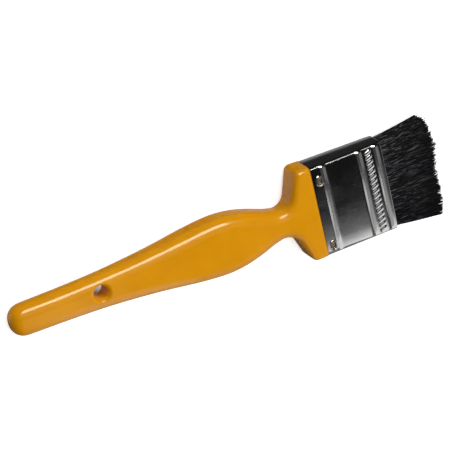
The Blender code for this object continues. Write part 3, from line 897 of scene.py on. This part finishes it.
def strand_paths(roots, random):
    """Centre lines of the strands: an array of strands by rings by x, y, z."""
    count = len(roots)
    y, z = roots[:, 0], roots[:, 1]
    half_y = FERRULE_WIDTH / 2 - FERRULE_SHEET
    half_z = FERRULE_MOUTH_THICKNESS / 2 - FERRULE_SHEET
    # length: the trimmed edge slopes, is rounded off at its corners, dips near its middle and is ragged
    tip = TIP_STATION + TIP_SLOPE * y
    for side, (depth, start, curve) in ((1, UPPER_CORNER_CUT), (-1, LOWER_CORNER_CUT)):
        into_corner = np.clip((side * y / half_y - start) / (1 - start), 0, 1)
        tip -= depth * into_corner**curve
    tip -= BACK_CUT * np.clip(-z / half_z, 0, 1)
    dip, dip_y, dip_breadth = TIP_DIP
    tip -= dip * np.exp(-((y - dip_y) / dip_breadth) ** 2)
    # strands gather into clumps that share a lean and a length
    cell = np.floor(y / CLUMP_SIZE + 0.5 * np.floor(z / CLUMP_SIZE)).astype(int)
    layer = np.floor(z / CLUMP_SIZE).astype(int)
    key = (cell - cell.min()) * 64 + (layer - layer.min())
    clumps, index = np.unique(key, return_inverse=True)
    clump_y = np.array([y[index == k].mean() for k in range(len(clumps))])[index]
    clump_z = np.array([z[index == k].mean() for k in range(len(clumps))])[index]
    tip += random.normal(0, CLUMP_TIPS, len(clumps))[index]
    tip -= CLUMP_DOME * ((y - clump_y) ** 2 + (z - clump_z) ** 2) / (CLUMP_SIZE / 2) ** 2
    tip += np.minimum(random.normal(*STRAND_TIPS, count), LONGEST_EXTRA)
    tip -= random.exponential(1.0, count) * SHORT_TIPS
    strays = random.random(count) < STRAY_SHARE
    tip += strays * random.uniform(0.0, STRAY_LENGTH, count)
    lean_y = random.normal(0, LEAN_Y[0], len(clumps))[index] + random.normal(0, LEAN_Y[1], count)
    lean_z = random.normal(0, LEAN_Z[0], len(clumps))[index] + random.normal(0, LEAN_Z[1], count)
    wave = random.uniform(*WAVES, (count, 2))
    phase = random.uniform(0, 2 * math.pi, (count, 2))
    swing = np.abs(random.normal(0, SWING, (count, 2)))
    upper_edge = np.clip(y / half_y, 0, 1) ** 2
    lower_edge = np.clip(-y / half_y, 0, 1) ** 2
    paths = np.zeros((count, STRAND_RINGS, 3))
    for ring in range(STRAND_RINGS):
        share = ring / (STRAND_RINGS - 1)
        x = BUNDLE_START + (tip - BUNDLE_START) * share
        free = np.clip((x - FERRULE_LENGTH) / (TIP_STATION - FERRULE_LENGTH), 0, None)
        spread_y = 1 + (TIP_WIDENING - 1) * free**0.95 + UPPER_FLARE * upper_edge * free**1.6
        spread_z = 1 + (TIP_THINNING - 1) * free**1.1
        gather = CLUMP_GATHER * free**1.5
        path_y = (y + (clump_y - y) * gather) * spread_y + lean_y * free
        path_y -= EDGE_DROP * upper_edge
        path_y += EDGE_DROP * lower_edge * (1 - free)
        path_z = (z + (clump_z - z) * gather) * spread_z + lean_z * free
        loose = np.clip(free * 4, 0, 1)[:, None]  # strands are straight where the ferrule holds them
        waving = swing * np.sin(phase + wave * 2 * math.pi * free[:, None]) * loose
        paths[:, ring] = np.stack([x, path_y + waving[:, 0], path_z + waving[:, 1]], axis=1)
    return paths


def strand_mesh(name, paths, widths, material):
    """Closed, tapered strands along the given centre lines, in one mesh."""
    count, rings = paths.shape[:2]
    turn = np.arange(STRAND_SIDES) * 2 * math.pi / STRAND_SIDES
    circle = np.stack([np.zeros(STRAND_SIDES), np.cos(turn), np.sin(turn)], axis=1)
    share = np.linspace(0, 1, rings)
    evenly, at_tip, nearness = STRAND_TAPER
    taper = 1 - evenly * share - at_tip * share**nearness
    offset = circle[None, None] * (widths[:, None, None, None] * taper[None, :, None, None])
    points = paths[:, :, None, :] + offset + np.array([ORIGIN_X, 0, CENTRE_Z])
    vertices = points.reshape(-1, 3)
    faces = []
    per_strand = rings * STRAND_SIDES
    pattern = []
    for ring in range(rings - 1):
        for side in range(STRAND_SIDES):
            after = (side + 1) % STRAND_SIDES
            low, high = ring * STRAND_SIDES, (ring + 1) * STRAND_SIDES
            pattern.append((low + side, low + after, high + after, high + side))
    start_cap = tuple(reversed(range(STRAND_SIDES)))
    end_cap = tuple(range(per_strand - STRAND_SIDES, per_strand))
    for strand in range(count):
        base = strand * per_strand
        faces += [tuple(base + v for v in face) for face in pattern]
        faces.append(tuple(base + v for v in start_cap))
        faces.append(tuple(base + v for v in end_cap))
    mesh = bpy.data.meshes.new(name)
    mesh.from_pydata(vertices.tolist(), [], faces)
    mesh.shade_smooth()
    mesh.update()
    return add_object(name, mesh, material)


def make_bristles(material):
    """The free strands, in two bundles on each side of the mid plane."""
    random = np.random.default_rng(SEED)
    roots = strand_roots(random)
    paths = strand_paths(roots, random)
    widths = STRAND_RADIUS * random.uniform(0.8, 1.15, len(roots))
    for face, side in (("front", 1), ("back", -1)):
        for place, across in (("upper", 1), ("lower", -1)):
            chosen = (roots[:, 1] * side > 0) & (roots[:, 0] * across > 0)
            piece = strand_mesh(f"bristles_{face}_{place}", paths[chosen], widths[chosen], material)
            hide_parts(f"bristle_tuft_{face}")
            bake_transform(piece)


# ---- pieces that keep their CAD shape

def dress_inner_nodes(materials):
    """The pieces inside the ferrule keep their CAD shape and get their own materials."""
    wanted = {
        "setting_resin": "resin", "filler_strip": "wood",
        "bristle_roots_front": "bristle", "bristle_roots_back": "bristle",
    }
    for node, slot in wanted.items():
        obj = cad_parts[node]
        obj.data.materials.clear()
        obj.data.materials.append(materials[slot])


# ---- studio

def make_floor():
    """A level sweep that isn't seen in the brush's reflections."""
    mesh = bpy.data.meshes.new("floor")
    bm = bmesh.new()
    bmesh.ops.create_grid(bm, x_segments=4, y_segments=4, size=FLOOR_HALF_SIZE)
    bm.to_mesh(mesh)
    bm.free()
    floor = add_object("floor", mesh, floor_material())
    floor.visible_glossy = False


def softbox(name, direction, distance, size, radiance):
    """A rectangular light that faces the brush, with its long side along it."""
    light = bpy.data.lights.new(name, "AREA")
    light.shape = "RECTANGLE"
    light.size, light.size_y = size
    light.energy = radiance * math.pi * size[0] * size[1]
    obj = bpy.data.objects.new(name, light)
    back = direction.normalized()
    x_axis = (Vector((1, 0, 0)) - back * back.x).normalized()
    y_axis = back.cross(x_axis)
    turned = Matrix((x_axis, y_axis, back)).transposed()
    obj.matrix_world = Matrix.Translation(back * distance) @ turned.to_4x4()
    bpy.context.scene.collection.objects.link(obj)
    obj.visible_camera = False
    return obj


def make_card(name, left, right, ramps, fade_in):
    """A pale card that stands beside the brush and is only seen in its reflections.

    Each ramp is (height where it starts, height where it is full, radiance that it adds from there down).
    """
    height = ramps[0][0]
    mesh = bpy.data.meshes.new(name)
    bm = bmesh.new()
    corners = ((left, 0.0), (right, 0.0), (right, height), (left, height))
    bm.faces.new([bm.verts.new((x, CARD_Y, z)) for x, z in corners])
    bm.to_mesh(mesh)
    bm.free()
    material, tree, shader = new_material(name)
    place = axes(tree, tree.nodes.new("ShaderNodeTexCoord").outputs["Object"])
    total = total_of(tree, "ADD", [
        map_range(tree, place["Z"], (start, full), (0, radiance), smooth=True)
        for start, full, radiance in ramps
    ])
    along = map_range(tree, place["X"], (left, left + fade_in), (0, 1), smooth=True)
    shader.inputs["Base Color"].default_value = (0, 0, 0, 1)
    shader.inputs["Specular IOR Level"].default_value = 0.0
    shader.inputs["Emission Color"].default_value = (1, 1, 1, 1)
    tree.links.new(maths(tree, "MULTIPLY", total, along), shader.inputs["Emission Strength"])
    card = add_object(name, mesh, material)
    card.visible_camera = card.visible_diffuse = card.visible_shadow = False


def make_lights():
    """A key light and fills that no reflection shows, and a strip light that only reflections show."""
    softbox("key", KEY_DIRECTION, LIGHT_DISTANCE, KEY_SIZE, KEY_RADIANCE).visible_glossy = False
    # the strip's mirror image runs along the handle and stops short of the ferrule
    strip = softbox("strip", STRIP_DIRECTION, STRIP_DISTANCE, STRIP_SIZE, STRIP_RADIANCE)
    strip.data.color = STRIP_COLOUR
    strip.location.x = STRIP_END - STRIP_SIZE[0] / 2
    strip.visible_diffuse = False
    for name, direction, radiance in FILLS:
        softbox(name, Vector(direction), LIGHT_DISTANCE, FILL_SIZE, radiance).visible_glossy = False


def make_world():
    """Dark surroundings with soft pale panels, and plain white where the camera sees them."""
    world = bpy.data.worlds.new("studio")
    world.use_nodes = True
    bpy.context.scene.world = world
    tree = world.node_tree
    tree.nodes.clear()
    direction = tree.nodes.new("ShaderNodeTexCoord").outputs["Generated"]
    panels = []
    for axis, cosines, radiance in PANELS:
        towards = vector_maths(tree, "DOT_PRODUCT", direction, Vector(axis).normalized())
        panels.append(map_range(tree, towards.outputs["Value"], cosines, (0, radiance), smooth=True))
    above = maths(tree, "ADD", total_of(tree, "MAXIMUM", panels), ROOM_RADIANCE)
    # below the horizon: dark at +Y, then a pale band, a dark one and, at +X only, a pale one at -Y
    ray = axes(tree, direction)
    beyond = map_range(tree, ray["Y"], (0.36, 0.22), (0, 0.38), smooth=True)
    gap = map_range(tree, ray["Y"], (-0.18, -0.34), (1, 0.1), smooth=True)
    near = map_range(tree, ray["Y"], (-0.47, -0.65), (0, 0.45), smooth=True)
    side = map_range(tree, ray["X"], (0.05, 0.25), (0, 1), smooth=True)
    near = maths(tree, "ADD", maths(tree, "MULTIPLY", near, side), 0.03)
    below = maths(tree, "ADD", maths(tree, "MULTIPLY", beyond, gap), near)
    rays = tree.nodes.new("ShaderNodeLightPath")
    less = map_range(tree, rays.outputs["Is Diffuse Ray"], (0, 1), (1, 0.2))
    below = maths(tree, "MULTIPLY", below, less)
    is_below = map_range(tree, ray["Z"], (-0.10, -0.30), (0, 1), smooth=True)
    studio = tree.nodes.new("ShaderNodeMix")
    tree.links.new(is_below, studio.inputs["Factor"])
    tree.links.new(above, studio.inputs[2])
    tree.links.new(below, studio.inputs[3])
    lit = tree.nodes.new("ShaderNodeBackground")
    tree.links.new(studio.outputs[0], lit.inputs["Strength"])
    plain = tree.nodes.new("ShaderNodeBackground")
    plain.inputs["Strength"].default_value = 1.0
    plain.inputs["Color"].default_value = (1, 1, 1, 1)
    chosen = tree.nodes.new("ShaderNodeMixShader")
    tree.links.new(rays.outputs["Is Camera Ray"], chosen.inputs["Fac"])
    tree.links.new(lit.outputs["Background"], chosen.inputs[1])
    tree.links.new(plain.outputs["Background"], chosen.inputs[2])
    out = tree.nodes.new("ShaderNodeOutputWorld")
    tree.links.new(chosen.outputs["Shader"], out.inputs["Surface"])


def make_camera():
    """Long lens, from above the tail end, with the brush running from lower left to upper right."""
    camera = bpy.data.cameras.new("camera")
    camera.lens = CAMERA_LENS
    camera.sensor_width = 36.0
    obj = bpy.data.objects.new("camera", camera)
    obj.location = CAMERA_PLACE
    obj.rotation_euler = Euler([math.radians(angle) for angle in CAMERA_TURN])
    bpy.context.scene.collection.objects.link(obj)
    bpy.context.scene.camera = obj


def main():
    """Makes the studio and every piece that the brush shows."""
    materials = {
        "lacquer": lacquer_material(), "nickel": nickel_material(), "brass": brass_material(),
        "bristle": bristle_material(), "resin": resin_material(), "wood": wood_material(),
    }
    make_camera()
    make_world()
    make_lights()
    make_floor()
    for card in CARDS:
        make_card(*card)
    make_handle(materials["lacquer"])
    make_ferrule(materials["nickel"])
    make_nails(materials["brass"])
    make_bristles(materials["bristle"])
    dress_inner_nodes(materials)
    bpy.context.scene.view_settings.view_transform = "Standard"


main()
